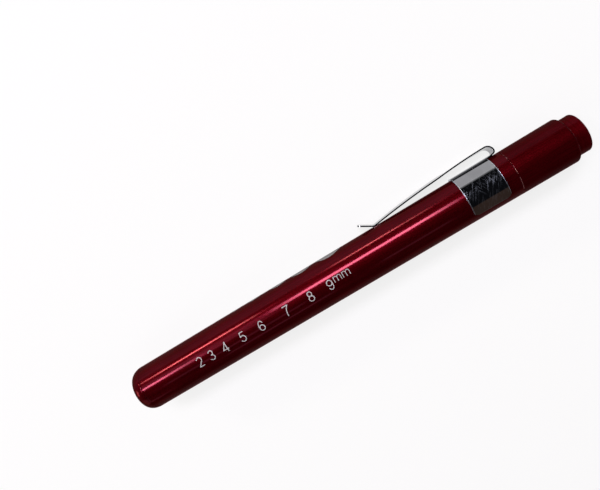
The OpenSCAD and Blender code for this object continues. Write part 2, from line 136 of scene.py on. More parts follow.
camera_place = -from_view(ORIGIN_SEEN)
camera_turn = Matrix((
    from_view(Vector((1, 0, 0))),
    from_view(Vector((0, -1, 0))),
    from_view(Vector((0, 0, -1))),
)).transposed()
camera_data = bpy.data.cameras.new("camera")
camera_data.sensor_width = SENSOR_W
camera_data.lens = SENSOR_W * FOCAL_PIXELS / IMAGE_W
camera_data.clip_start = 0.005
camera = bpy.data.objects.new("camera", camera_data)
camera.matrix_world = Matrix.Translation(camera_place) @ camera_turn.to_4x4()
bpy.context.scene.collection.objects.link(camera)
bpy.context.scene.camera = camera
bpy.context.scene.view_settings.view_transform = "Standard"
print("camera at", [round(v / MM, 1) for v in camera_place], "mm")

# %% [markdown]
# ## Working by hand in code
# Blender's operators act on whatever is selected, so each piece starts from an empty selection. Small
# helpers keep that in one place: one starts a piece, one opens edit mode, one adds a modifier and applies
# it, and one lays a piece down that was modelled upright, with the clip on top.

# %% Helpers for modelling
MERGE = 0.0005 * MM


def start_piece():
    """Leaves edit mode and deselects everything, so that the next primitive is alone."""
    if bpy.context.mode != "OBJECT":
        bpy.ops.object.mode_set(mode="OBJECT")
    bpy.ops.object.select_all(action="DESELECT")


def pick(piece):
    """Makes one piece the only selected and active one."""
    start_piece()
    piece.select_set(True)
    bpy.context.view_layer.objects.active = piece


def with_modifier(piece, kind, **settings):
    """Adds a modifier with its settings and applies it."""
    pick(piece)
    bpy.ops.object.modifier_add(type=kind)
    modifier = piece.modifiers[-1]
    for name, value in settings.items():
        setattr(modifier, name, value)
    bpy.ops.object.modifier_apply(modifier=modifier.name)


def lay_down(piece, angle=0.0):
    """Turns a piece about the axis from upright, clip on top, to how the part lies."""
    pick(piece)
    piece.rotation_euler.x = LAY_TURN + angle
    bpy.ops.object.transform_apply(location=True, rotation=True, scale=True)


def smooth(piece, degrees=35):
    """Shades the piece smooth, with its sharper edges kept."""
    pick(piece)
    bpy.ops.object.shade_smooth_by_angle(angle=math.radians(degrees))


def select_where(piece, test, kind="VERT"):
    """Opens edit mode with only what lies where the test says selected: points, edges or faces."""
    pick(piece)
    bpy.ops.object.mode_set(mode="EDIT")
    bpy.ops.mesh.select_mode(type=kind)
    bpy.ops.mesh.select_all(action="DESELECT")
    bpy.ops.object.mode_set(mode="OBJECT")
    mesh = piece.data
    if kind == "FACE":
        for face in mesh.polygons:
            face.select = test(face.center)
    elif kind == "EDGE":
        for edge in mesh.edges:
            first, last = (mesh.vertices[index].co for index in edge.vertices)
            edge.select = test((first + last) / 2)
    else:
        for vertex in mesh.vertices:
            vertex.select = test(vertex.co)
    bpy.ops.object.mode_set(mode="EDIT")


def close_up(piece, degrees=35):
    """Merges doubles, turns the faces outwards, leaves edit mode and shades the piece."""
    pick(piece)
    bpy.ops.object.mode_set(mode="EDIT")
    bpy.ops.mesh.select_mode(type="VERT")
    bpy.ops.mesh.select_all(action="SELECT")
    bpy.ops.mesh.remove_doubles(threshold=MERGE)
    bpy.ops.mesh.normals_make_consistent(inside=False)
    bpy.ops.object.mode_set(mode="OBJECT")
    smooth(piece, degrees)


print("helpers ready")

# %% [markdown]
# ## Turned pieces
# The barrel, the cap and the button are turned on a lathe. By hand, such a piece is a ring that is
# extruded along the axis and scaled at each step of its outline. The outline is a list of points, each
# with its distance from the nose and its radius in millimetres, and round stretches are worked out as
# arcs. Long stretches get a ring close to each end, because smooth shading would otherwise pull their
# highlights towards the bevels.

# %% Lathe helper
NOSE_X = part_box("barrel")[1].x
TURNED_SIDES = 192
HOLD = 0.04
LONG_STRETCH = 1.0


def held(outline):
    """The outline with a point close to both ends of each long stretch, which keeps its shading straight."""
    points = outline[:1]
    for (z, r), (next_z, next_r) in zip(outline, outline[1:]):
        length = math.hypot(next_z - z, next_r - r)
        shares = (HOLD / length, 1 - HOLD / length) if length > LONG_STRETCH else ()
        points += [(z + (next_z - z) * share, r + (next_r - r) * share) for share in shares]
        points.append((next_z, next_r))
    return points


def turn(name, outline):
    """A turned piece. Its first ring is a circle, extruded and scaled to each next point of the outline."""
    points = [(NOSE_X - z * MM, r * MM) for z, r in held(outline)]
    start_piece()
    x, radius = points[0]
    bpy.ops.mesh.primitive_circle_add(
        vertices=TURNED_SIDES, radius=radius, location=(x, 0, 0), rotation=(0, math.pi / 2, 0)
    )
    piece = bpy.context.active_object
    piece.name = name
    bpy.ops.object.transform_apply(location=True, rotation=True, scale=True)
    bpy.ops.object.mode_set(mode="EDIT")
    bpy.ops.mesh.select_all(action="SELECT")
    for next_x, next_radius in points[1:]:
        share = next_radius / radius
        bpy.ops.mesh.extrude_region_move(TRANSFORM_OT_translate={"value": (next_x - x, 0, 0)})
        bpy.ops.transform.resize(value=(1, share, share), center_override=(next_x, 0, 0))
        x, radius = next_x, next_radius
    bpy.ops.object.mode_set(mode="OBJECT")
    close_up(piece)
    return piece


def arc(z, r, size_z, size_r, start, end, steps=12):
    """Points on an arc about (z, r), where 0 degrees points out from the axis and 90 to the tail."""
    angles = [math.radians(start + (end - start) * i / steps) for i in range(steps + 1)]
    return [(z + size_z * math.sin(a), r + size_r * math.cos(a)) for a in angles]


print("nose at", round(NOSE_X / MM, 3), "mm")

# %% [markdown]
# ## The barrel
# The barrel is one tube from its rounded nose to the threaded spigot that the cap screws on. A fine
# groove behind the nose rim catches a dark line, and a small bevel at the seam catches a light one, so
# both are real steps in the outline. The outline runs out over the skin and back along the bore.

# %% Barrel
BARREL_R = 6.5
BORE_R = 5.4
ROOT_R = 5.7
LIP = 1.2
OPENING_R = 4.0
FLARE_R = 4.28
FLARE_CHAMFER = 0.08
RIM = 3.1
RIM_DRAW = 1.9
GROOVE = 0.3
GROOVE_DEPTH = 0.12
GROOVE_EDGE = 0.02
GROOVE_FLOOR = 0.06
SEAM_Z = 120.9
SEAM_BEVEL = 0.12
SPIGOT_END_Z = 126.7
SPIGOT_CHAMFER = 0.1

groove_z = RIM + GROOVE / 2
groove_middle = groove_z + GROOVE / 2
groove_end = groove_z + GROOVE
barrel_outline = (
    [(LIP, OPENING_R), (LIP / 2, OPENING_R)]
    + [(FLARE_CHAMFER, FLARE_R), (0, FLARE_R + FLARE_CHAMFER)]
    + arc(RIM, BARREL_R - RIM_DRAW, RIM, RIM_DRAW, -90, 0, 20)
    + [(groove_z - GROOVE_EDGE, BARREL_R), (groove_z + GROOVE_EDGE, BARREL_R - GROOVE_EDGE)]
    + [(groove_middle - GROOVE_FLOOR / 2, BARREL_R - GROOVE_DEPTH)]
    + [(groove_middle + GROOVE_FLOOR / 2, BARREL_R - GROOVE_DEPTH)]
    + [(groove_end - GROOVE_EDGE, BARREL_R - GROOVE_EDGE), (groove_end + GROOVE_EDGE, BARREL_R)]
    + arc(SEAM_Z - SEAM_BEVEL, BARREL_R - SEAM_BEVEL, SEAM_BEVEL, SEAM_BEVEL, 0, 90, 4)
    + [(SEAM_Z, ROOT_R), (SPIGOT_END_Z - SPIGOT_CHAMFER, ROOT_R)]
    + [(SPIGOT_END_Z, ROOT_R - SPIGOT_CHAMFER), (SPIGOT_END_Z, BORE_R)]
    + [(LIP, BORE_R), (LIP, OPENING_R)]
)
barrel = turn("barrel_tube", barrel_outline)
print("barrel:", len(barrel.data.polygons), "faces")

# %% [markdown]
# ## The thread
# The spigot's thread is a ridge that winds round it. A flat section is drawn beside the axis, narrowed at
# its crest, and the Screw modifier sweeps it along the axis while it turns, which is how a lathe cuts a
# thread. It shows only when the cap is unscrewed.

# %% Thread
THREAD_R = 5.95
PITCH = 0.75
THREAD_TURNS = 6
THREAD_STEPS = 64
THREAD_START = 0.7
RIDGE_W = 0.6
CREST_SHARE = 0.35
SUNK = 0.05

ridge_h = THREAD_R - ROOT_R + SUNK
thread_x = NOSE_X - (SEAM_Z + THREAD_START) * MM
start_piece()
bpy.ops.mesh.primitive_plane_add(
    size=MM, location=(thread_x, 0, (THREAD_R - ridge_h / 2) * MM), rotation=(math.pi / 2, 0, 0)
)
thread = bpy.context.active_object
thread.name = "spigot_thread"
thread.scale = (RIDGE_W, ridge_h, 1)
bpy.ops.object.transform_apply(location=True, rotation=True, scale=True)
select_where(thread, lambda place: place.z > (THREAD_R - ridge_h / 2) * MM)
bpy.ops.transform.resize(value=(CREST_SHARE, 1, 1), center_override=(thread_x, 0, 0))
bpy.ops.object.mode_set(mode="OBJECT")
with_modifier(
    thread, "SCREW", axis="X", screw_offset=-PITCH * MM, iterations=THREAD_TURNS,
    steps=THREAD_STEPS, render_steps=THREAD_STEPS, use_merge_vertices=False,
)
select_where(thread, lambda place: True)
bpy.ops.mesh.fill_holes(sides=4)
close_up(thread)
print("thread:", len(thread.data.polygons), "faces")

# %% [markdown]
# ## The tail cap
# The cap is a plain turned sleeve with a rounded tail edge and a hole for the button. Its mouth has the
# same small bevel as the barrel's end, and the hair-thin gap between them is the seam that shows as a
# light line.

# %% Tail cap
SEAM_GAP = 0.05
MOUTH_Z = SEAM_Z + SEAM_GAP
CAP_BORE_R = 6.0
REAR_BORE_R = 5.8
HOLE_R = 5.5
LEDGE_Z = 129.5
LIP_Z = 135.8
CAP_END_Z = 137.3
CAP_ROUND = 0.6
EDGE_BREAK = 0.08

cap = turn(
    "cap_sleeve",
    [(MOUTH_Z, CAP_BORE_R)]
    + arc(MOUTH_Z + SEAM_BEVEL, BARREL_R - SEAM_BEVEL, SEAM_BEVEL, SEAM_BEVEL, -90, 0, 4)
    + arc(CAP_END_Z - CAP_ROUND, BARREL_R - CAP_ROUND, CAP_ROUND, CAP_ROUND, 0, 90, 12)
    + [(CAP_END_Z, HOLE_R + EDGE_BREAK), (CAP_END_Z - EDGE_BREAK, HOLE_R), (LIP_Z, HOLE_R)]
    + [(LIP_Z, REAR_BORE_R), (LEDGE_Z, REAR_BORE_R), (LEDGE_Z, CAP_BORE_R), (MOUTH_Z, CAP_BORE_R)],
)
print("cap:", len(cap.data.polygons), "faces")

# %% [markdown]
# ## The push button
# The button is a turned plug with a flange that keeps it in the cap. Its end is flat with a broken edge,
# and a blind socket inside holds the plunger. The outline starts and ends on the axis, where its ring
# closes to a pole.

# %% Push button
POLE = 0.0001
FLANGE_Z = 134.78
BACK_Z = 135.78
FLANGE_R = 5.75
BUTTON_R = 5.45
BUTTON_BEVEL = 0.35
SOCKET_R = 2.2
SOCKET_Z = 138.78
END_Z = 141.1

button = turn(
    "push_button",
    [(SOCKET_Z, POLE), (SOCKET_Z, SOCKET_R), (FLANGE_Z, SOCKET_R)]
    + [(FLANGE_Z, FLANGE_R - EDGE_BREAK), (FLANGE_Z + EDGE_BREAK, FLANGE_R)]
    + [(BACK_Z, FLANGE_R), (BACK_Z, BUTTON_R)]
    + arc(END_Z - BUTTON_BEVEL, BUTTON_R - BUTTON_BEVEL, BUTTON_BEVEL, BUTTON_BEVEL, 0, 90, 8)
    + [(END_Z, POLE)],
)
print("button:", len(button.data.polygons), "faces")

# %% [markdown]
# ## The return spring
# A thin coil between the switch and the button's flange pushes the button back. A spring winder bends the
# wire a little at a time, so the wire's round section is extruded in small steps, each turned about the
# axis and moved along it. The turn at each end is nearly closed and sits flat. The coil shortens as the
# button is pressed.

# %% Return spring
SPRING_Z = 130.6
RETURN_R = 5.45
RETURN_WIRE = 0.3
RETURN_TURNS = 3.5
CLOSED_RISE = 0.36
WIRE_SIDES = 12
TURN_STEPS = 32
SPRING_GAP = 0.02

spring_rise = FLANGE_Z - SPRING_Z - RETURN_WIRE - 2 * SPRING_GAP
active_rise = (spring_rise - 2 * CLOSED_RISE) / (RETURN_TURNS - 2)
start_piece()
bpy.ops.mesh.primitive_circle_add(
    vertices=WIRE_SIDES, radius=RETURN_WIRE / 2 * MM, rotation=(math.pi / 2, 0, 0),
    location=(NOSE_X - (SPRING_Z + SPRING_GAP + RETURN_WIRE / 2) * MM, 0, RETURN_R * MM),
)
spring = bpy.context.active_object
spring.name = "return_spring"
bpy.ops.object.transform_apply(location=True, rotation=True, scale=True)
bpy.ops.object.mode_set(mode="EDIT")
bpy.ops.mesh.select_all(action="SELECT")
for step in range(int(RETURN_TURNS * TURN_STEPS)):
    turns = step / TURN_STEPS
    climb = active_rise if 1 <= turns < RETURN_TURNS - 1 else CLOSED_RISE
    bpy.ops.mesh.extrude_region_move(TRANSFORM_OT_translate={"value": (-climb / TURN_STEPS * MM, 0, 0)})
    bpy.ops.transform.rotate(value=math.tau / TURN_STEPS, orient_axis="X", center_override=(0, 0, 0))
bpy.ops.mesh.select_all(action="SELECT")
bpy.ops.mesh.fill_holes(sides=WIRE_SIDES)
close_up(spring)
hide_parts("button_spring")
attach(spring, "tail_cap")
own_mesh(spring)

# %% [markdown]
# ## The pocket clip
# The clip is one strip of spring steel: a band that grips the barrel, a neck, a loop back over the band,
# and a bowed arm with an upturned tip. It could be put together from blocks, but real sheet metal is bent
# from one piece. So the band starts as an open cylinder with a column of faces for each degree, the strip
# is extruded from its tail edge step by step along the bend line, and Solidify gives the whole sheet its
# thickness at the end.

# %% Band of the clip
CLIP_T = 0.4
BAND_MID_R = 6.72
BAND_W = 10.6
BAND_WRAP = 278
BAND_CORNER = 1.3
COLUMNS = 360

band_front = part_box("clip_band")[1].x
band_x = band_front - BAND_W * MM / 2


def from_top(place):
    """The angle in degrees of a place round the axis, counted from the top, where the clip's arm is."""
    return abs(math.degrees(math.atan2(place.y, place.z)))


start_piece()
bpy.ops.mesh.primitive_cylinder_add(
    vertices=COLUMNS, radius=BAND_MID_R * MM, depth=BAND_W * MM, end_fill_type="NOTHING",
    location=(band_x, 0, 0), rotation=(0, math.pi / 2, 0),
)
clip = bpy.context.active_object
clip.name = "pocket_clip"
bpy.ops.object.transform_apply(location=True, rotation=True, scale=True)
select_where(clip, lambda place: from_top(place) > BAND_WRAP / 2, "FACE")
bpy.ops.mesh.delete(type="FACE")
bpy.ops.object.mode_set(mode="OBJECT")
print("band:", len(clip.data.polygons), "columns, front edge at", round(band_front / MM, 2), "mm")

# %% [markdown]
# The band's four corners are cut round. Each column of the sheet near its ends is made shorter by what a
# circle of the corner's radius takes off there.

# %% Round corners of the band
HALF_COLUMN = 0.5

corner_columns = int(math.degrees(BAND_CORNER / BAND_MID_R)) + 1
for column in range(corner_columns):
    angle = BAND_WRAP / 2 - column
    inset = BAND_CORNER - math.radians(column) * BAND_MID_R
    taken = BAND_CORNER - math.sqrt(BAND_CORNER ** 2 - inset ** 2) if inset > 0 else 0
    share = 1 - 2 * taken / BAND_W
    select_where(clip, lambda place: abs(from_top(place) - angle) < HALF_COLUMN)
    bpy.ops.transform.resize(value=(share, 1, 1), center_override=(band_x, 0, 0))
    bpy.ops.object.mode_set(mode="OBJECT")
print("corners rounded over", corner_columns, "columns")

# %% [markdown]
# The strip follows a bend line in the middle plane: along the neck, round the loop's tight lower bend and
# its wider upper one, down the long bow, and up at the tip. Its points are arcs worked out from the
# radii, and a function gives the strip's width at each: a slow taper to an end with round corners.

# %% Bend line of the strip
CLIP_W = 4.5
TIP_W = 3.4
LOW_BEND_R = 0.8
LOOP_R = 1.8
ARM_REACH = 35.0
TIP_H = 6.8
TIP_BEND_R = 1.4
TIP_ANGLE = math.radians(31)
TIP_L = 4.1
TIP_CORNER = 0.7
TIP_REACHES = (2.2, 1.6, 1.15, 0.95, 0.75, 0.52, 0.3, 0.14, 0.05, 0)
BLUNT_SQUARED = 0.005

hinge = Vector(joints["clip_flex"]["pos_m"])
loop_x = hinge.x / MM
low_bend_x = loop_x + LOW_BEND_R - LOOP_R
loop_h = BAND_MID_R + LOW_BEND_R
arm_h = loop_h + LOOP_R
bow_angle = 2 * math.atan((arm_h - TIP_H) / ARM_REACH)
bow_r = ARM_REACH / math.sin(bow_angle) - TIP_BEND_R
tip_x = loop_x + ARM_REACH
tip_end_x = tip_x + TIP_BEND_R * math.sin(TIP_ANGLE) + TIP_L * math.cos(TIP_ANGLE)


def sweep(x, h, radius, start, end, steps):
    """Points on a bend about (x, h), where angle 0 points down and grows towards the nose."""
    angles = [start + (end - start) * i / steps for i in range(1, steps + 1)]
    return [(x + radius * math.sin(a), h - radius * math.cos(a)) for a in angles]


def strip_width(x):
    """The strip's width at x: a slow taper to an end with round corners."""
    round_x = tip_end_x - TIP_CORNER
    if x > round_x:
        left = math.sqrt(max(TIP_CORNER ** 2 - (x - round_x) ** 2, BLUNT_SQUARED))
        return TIP_W - 2 * TIP_CORNER + 2 * left
    return CLIP_W + (TIP_W - CLIP_W) * max(x - loop_x, 0) / (round_x - loop_x)


tip_line = [(tip_end_x - reach * math.cos(TIP_ANGLE), reach) for reach in TIP_REACHES]
bend_end_h = TIP_H + TIP_BEND_R * (1 - math.cos(TIP_ANGLE))
bend_line = (
    sweep(low_bend_x, loop_h, LOW_BEND_R, 0, -math.pi / 2, steps=10)
    + sweep(loop_x, loop_h, LOOP_R, -math.pi / 2, -math.pi, steps=14)
    + sweep(loop_x, arm_h - bow_r, bow_r, math.pi, math.pi - bow_angle, steps=24)
    + sweep(tip_x, TIP_H + TIP_BEND_R, TIP_BEND_R, -bow_angle, TIP_ANGLE, steps=8)
    + [(x, bend_end_h + (TIP_L - reach) * math.sin(TIP_ANGLE)) for x, reach in tip_line]
)
print("bend line:", len(bend_line), "points, tip at", round(tip_end_x, 2), "mm")

# %% [markdown]
# The edge of the band under the neck is extruded along that line. On the neck it is flattened as it goes,
# because the band is round and the strip is flat, and the neck's root is a little wider, which leaves no
# sharp inner corner. The arm isn't quite square to the band, so its steps are also rolled about its
# length, by a few degrees in all.

# %% Strip of the clip
FLAT_SHARE = 0.894
FLATTENED = 0.995
CLIP_CREASE = 40
NECK = [(0.12, 0.955), (0.3, 0.918), (0.55, 0.90), (1.0, FLAT_SHARE), (1.6, FLAT_SHARE), (2.1, FLAT_SHARE)]
ROLL = math.radians(9)
ROLL_REACH = 14.0
root_angle = math.degrees(math.asin(CLIP_W / 2 / FLAT_SHARE / BAND_MID_R))
band_back = band_x - BAND_W * MM / 2


def extrude_to(dx, dz, stretch_y, stretch_z, centre):
    """Extrudes the selected edge by a step and stretches it about a centre."""
    bpy.ops.mesh.extrude_region_move(TRANSFORM_OT_translate={"value": (dx, 0, dz)})
    bpy.ops.transform.resize(value=(1, stretch_y, stretch_z), center_override=centre)


select_where(
    clip, lambda place: place.x < band_back + MERGE and from_top(place) < root_angle, "EDGE"
)
x, h, width, flat = band_back / MM, BAND_MID_R, 1.0, 1.0
for step, share in NECK:
    next_flat = 1 - FLATTENED * step / NECK[-1][0]
    next_x = band_back / MM - step
    extrude_to((next_x - x) * MM, 0, share / width, next_flat / flat, (0, 0, BAND_MID_R * MM))
    x, width, flat = next_x, share, next_flat
width, roll = CLIP_W, 0.0
for next_x, next_h in bend_line:
    next_width = strip_width(next_x)
    next_roll = ROLL * min(max(next_x - loop_x, 0) / ROLL_REACH, 1) ** 2
    centre = (next_x * MM, 0, next_h * MM)
    narrowed = next_width / width
    extrude_to((next_x - x) * MM, (next_h - h) * MM, narrowed, narrowed, centre)
    if next_roll != roll:
        bpy.ops.transform.rotate(value=next_roll - roll, orient_axis="X", center_override=centre)
    x, h, width, roll = next_x, next_h, next_width, next_roll
close_up(clip, CLIP_CREASE)
print("clip sheet:", len(clip.data.polygons), "faces")

# %% [markdown]
# Solidify makes the sheet a strip of real thickness, centred on the bend line, and a fine bevel breaks
# its edges, which is what catches the thin white lines along a polished clip.

# %% Thickness of the clip
EDGE_ROUND = 0.04

with_modifier(clip, "SOLIDIFY", thickness=CLIP_T * MM, offset=0, use_even_offset=True)
with_modifier(
    clip, "BEVEL", width=EDGE_ROUND * MM, segments=1, limit_method="ANGLE", angle_limit=math.radians(60)
)
smooth(clip, CLIP_CREASE)
lay_down(clip)
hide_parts("clip_band", "clip_arm")
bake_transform(clip)
print("clip:", len(clip.data.polygons), "faces")

# %% [markdown]
# ## The pupil gauge
# Eight dots of 2 to 9 mm across are printed along the barrel, each with its number beside it. The marks
# are drawn flat with the thickness of a coat of ink, cut into narrow bands, and wrapped round the barrel
# by a bend, so that they keep their true size on the curve.

# %% Wrapping a flat mark
INK_T = 0.012
INK_STEP = 0.3


def wrap(mark, x, angle):
    """Wraps a flat mark round the barrel. It lies in the XZ plane about the origin, facing +Y."""
    pick(mark)
    heights = [vertex.co.z for vertex in mark.data.vertices]
    low, high = min(heights), max(heights)
    cuts = math.ceil((high - low) / (INK_STEP * MM))
    bpy.ops.object.mode_set(mode="EDIT")
    for cut in range(1, cuts):
        bpy.ops.mesh.select_all(action="SELECT")
        level = low + (high - low) * cut / cuts
        bpy.ops.mesh.bisect(plane_co=(0, 0, level), plane_no=(0, 0, 1))
    bpy.ops.mesh.select_all(action="SELECT")
    bpy.ops.mesh.remove_doubles(threshold=MERGE)
    bpy.ops.object.mode_set(mode="OBJECT")
    with_modifier(
        mark, "SIMPLE_DEFORM", deform_method="BEND", deform_axis="X",
        angle=-(high - low) / (BARREL_R * MM),
    )
    mark.location = (x * MM, BARREL_R * MM, 0)
    bpy.ops.object.transform_apply(location=True, rotation=True, scale=True)
    lay_down(mark, angle)
    return mark


print("ink is", INK_T, "mm thick")

# %% [markdown]
# The dots grow by a millimetre each, and their places follow the gauge's own spacing, measured from the
# middle of the part. Their row lies a little more than a quarter turn from the numbers, so only their
# edges show from the numbers' side, and it is set a little towards the tail.

# %% Dots of the gauge
GAUGE = [(2, 48.05), (3, 44.15), (4, 39.55), (5, 33.75), (6, 27.55), (7, 19.35), (8, 11.65), (9, 2.7)]
DOT_SHIFT = -0.4
DOT_SIDES = 96
DOT_ANGLE = math.radians(98.5)

dots = []
for size, x in GAUGE:
    start_piece()
    bpy.ops.mesh.primitive_circle_add(
        vertices=DOT_SIDES, radius=size * MM / 2, fill_type="NGON", rotation=(-math.pi / 2, 0, 0)
    )
    dot = bpy.context.active_object
    dot.name = f"gauge_dot_{size}"
    bpy.ops.object.transform_apply(location=True, rotation=True, scale=True)
    with_modifier(dot, "SOLIDIFY", thickness=INK_T * MM, offset=1)
    dots.append(wrap(dot, x + DOT_SHIFT, DOT_ANGLE))
print("dots:", len(dots), "with", sum(len(dot.data.polygons) for dot in dots), "faces")

# %% [markdown]
# The numbers are drawn with an even pen, like the lettering of a drawing: straight lines and round bows,
# and the 9 is the 6 upside down. A font would be quicker, but its 6 and 9 have other tails. Each stroke
# is a list of points in a box of height 1, with its first coordinate in the reading direction.

# %% Shapes of the numbers


def bow(across, up, half_w, half_h, start, end, steps=20):
    """Points on a round bow, where 0 degrees is its right side and 90 its top."""
    angles = [math.radians(start + (end - start) * i / steps) for i in range(steps + 1)]
    return [(across + half_w * math.cos(a), up + half_h * math.sin(a)) for a in angles]


def upside_down(strokes, across, up):
    """The strokes turned by half a turn about a place."""
    return [[(2 * across - a, 2 * up - b) for a, b in stroke] for stroke in strokes]


SIX = [bow(0.27, 0.5, 0.27, 0.5, 30, 180, 16) + bow(0.27, 0.285, 0.27, 0.285, 180, 540, 36)]
SHAPES = {
    2: [bow(0.275, 0.73, 0.265, 0.27, 168, -35) + [(0.03, 0.03)], [(-0.05, 0.0), (0.56, 0.0)]],
    3: [bow(0.26, 0.765, 0.235, 0.235, 160, -95), bow(0.255, 0.27, 0.275, 0.27, 95, -160)],
    4: [[(0.62, 0.25), (0.0, 0.25), (0.43, 0.97)], [(0.44, 1.06), (0.44, -0.06)]],
    5: [[(0.53, 1.0), (0.12, 1.0), (0.05, 0.5)], bow(0.255, 0.32, 0.285, 0.32, 140, -158)],
    6: SIX,
    7: [[(-0.02, 1.0), (0.57, 1.0)] + bow(0.95, -0.07, 0.77, 1.2, 120, 180, 12)],
    8: [bow(0.27, 0.77, 0.225, 0.23, 0, 360, 32), bow(0.27, 0.27, 0.27, 0.27, 0, 360, 36)],
    9: upside_down(SIX, 0.27, 0.5),
}
ARCH = bow(0.35, 0.65, 0.35, 0.35, 180, 0, 12) + [(0.70, -0.1)]
LETTER_M = [[(0.0, -0.1), (0.0, 1.1)], ARCH, [(a + 0.70, b) for a, b in ARCH]]
print("shapes:", len(SHAPES), "numbers and one letter")

# %% [markdown]
# A stroke starts as a short edge, the thickness of the ink, that is extruded along its points to a thin
# wall. Solidify widens the wall to the pen's width, and the strokes of one number are joined. They read
# from the nose to the tail, with their tops towards the clip, and the last one has its unit beside it,
# level with its top.

# %% Numbers of the gauge
DIGIT_H = 3.0
DIGIT_PEN = 0.26
UNIT_H = 1.66
UNIT_PEN = 0.19
ROW_GAPS = (0.6, 0.43, 0.0)
DIGIT_ANGLE = math.radians(-10.3)


def draw(name, strokes, height, pen):
    """A number or letter as one mesh of the given height, in the XZ plane, about the middle of its box."""
    scale = height - pen
    across = [a for stroke in strokes for a, b in stroke]
    middle = (min(across) + max(across)) / 2
    walls = []
    for stroke in strokes:
        path = [((middle - a) * scale * MM, (b - 0.5) * scale * MM) for a, b in stroke]
        x, z = path[0]
        start_piece()
        bpy.ops.mesh.primitive_plane_add(size=INK_T * MM, location=(x, INK_T * MM / 2, z))
        wall = bpy.context.active_object
        bpy.ops.object.transform_apply(location=True, rotation=True, scale=True)
        select_where(wall, lambda place: place.x > x)
        bpy.ops.mesh.delete(type="VERT")
        bpy.ops.mesh.select_all(action="SELECT")
        bpy.ops.transform.translate(value=(INK_T * MM / 2, 0, 0))
        for next_x, next_z in path[1:]:
            bpy.ops.mesh.extrude_region_move(TRANSFORM_OT_translate={"value": (next_x - x, 0, next_z - z)})
            x, z = next_x, next_z
        bpy.ops.mesh.select_all(action="SELECT")
        bpy.ops.mesh.remove_doubles(threshold=MERGE)
        with_modifier(wall, "SOLIDIFY", thickness=pen * MM, offset=0, use_even_offset=True)
        walls.append(wall)
    pick(walls[0])
    for wall in walls:
        wall.select_set(True)
    bpy.ops.object.join()
    close_up(walls[0], 30)
    walls[0].name = name
    return walls[0]


numbers = []
for size, x in GAUGE:
    number = draw(f"gauge_number_{size}", SHAPES[size], DIGIT_H, DIGIT_PEN)
    if size == GAUGE[-1][0]:
        letters = [draw(f"unit_letter_{i}", LETTER_M, UNIT_H, UNIT_PEN) for i in range(2)]
        row = [number] + letters
        reach = (sum(piece.dimensions.x for piece in row) + sum(ROW_GAPS) * MM) / 2
        for piece, gap in zip(row, ROW_GAPS):
            piece.location.x = reach - piece.dimensions.x / 2
            piece.location.z = 0 if piece is number else (DIGIT_H - UNIT_H) / 2 * MM
            reach -= piece.dimensions.x + gap * MM
        pick(number)
        for piece in row:
            piece.select_set(True)
        bpy.ops.object.transform_apply(location=True, rotation=True, scale=True)
        bpy.ops.object.join()
    numbers.append(wrap(number, x, DIGIT_ANGLE))
print("numbers:", len(numbers), "with", sum(len(number.data.polygons) for number in numbers), "faces")

# %% [markdown]
# ## Shader sums in Python
# A finish is a small sum of patterns. Node by node that is long to read, so one class wraps a socket, and
# Python's own operators on it add the Math nodes. Any other node comes from its one method, which takes
# the settings first.

# %% Shader class


class Wire:
    """A socket of a node tree. Operators on it add Math nodes."""

    def __init__(self, tree, socket=None):
        self.tree = tree
        self.socket = socket

    def node(self, kind, settings=None, sockets=None, output=0):
        """Adds a node: its settings come first, then the values or wires of its sockets."""
        made = self.tree.nodes.new(kind)
        for name, value in (settings or {}).items():
            setattr(made, name, value)
        for name, value in (sockets or {}).items():
            if isinstance(value, Wire):
                self.tree.links.new(value.socket, made.inputs[name])
            else:
                made.inputs[name].default_value = value
        return Wire(self.tree, made.outputs[output] if len(made.outputs) else None)

    def calculate(self, operation, first, second):
        return self.node("ShaderNodeMath", {"operation": operation}, {0: first, 1: second})

    def __abs__(self):
        return self.node("ShaderNodeMath", {"operation": "ABSOLUTE"}, {0: self})

    def __add__(self, other):
        return self.calculate("ADD", self, other)

    def __sub__(self, other):
        return self.calculate("SUBTRACT", self, other)

    def __rsub__(self, other):
        return self.calculate("SUBTRACT", other, self)

    def __mul__(self, other):
        return self.calculate("MULTIPLY", self, other)

    __radd__ = __add__
    __rmul__ = __mul__


print("shader class ready")

# %% [markdown]
# A few patterns serve every finish: noise stretched along the axes, a contrast curve that picks out part
# of it, the place along the barrel, a mix of two colours, and a bump whose depth is a real length. All of
# them read the piece's own coordinates.

# %% Patterns


def noise(wire, scale, detail=2.0, turned=0.0):
    """Noise from 0 to 1, with one scale per metre or one for each axis, turned about the facing line."""
    scales = scale if isinstance(scale, tuple) else (scale, scale, scale)
    place = wire.node("ShaderNodeTexCoord", output="Object")
    if turned:
        place = wire.node("ShaderNodeVectorRotate", None, {"Vector": place, "Axis": FACING, "Angle": turned})
    mapped = wire.node("ShaderNodeMapping", None, {"Vector": place, "Scale": scales})
    return wire.node("ShaderNodeTexNoise", None, {"Vector": mapped, "Scale": 1.0, "Detail": detail})


def place_along(wire):
    """How far along the barrel each point of a piece lies, in metres."""
    place = wire.node("ShaderNodeTexCoord", output="Object")
    return wire.node("ShaderNodeSeparateXYZ", None, {"Vector": place}, output="X")


def contrast(value, low, high):
    """Spreads the stretch from low to high over 0 to 1."""
    return value.node(
        "ShaderNodeMapRange", {"clamp": True}, {"Value": value, "From Min": low, "From Max": high}
    )


def opaque(colour):
    """A colour as a socket takes it: a wire as it is, and three numbers with their alpha."""
    return colour if isinstance(colour, Wire) else (*colour, 1)


def blend_colour(mask, first, second):
    """The first colour where the mask is 0, and the second where it is 1."""
    return mask.node(
        "ShaderNodeMix", {"data_type": "RGBA"}, {0: mask, 6: opaque(first), 7: opaque(second)}, output=2
    )


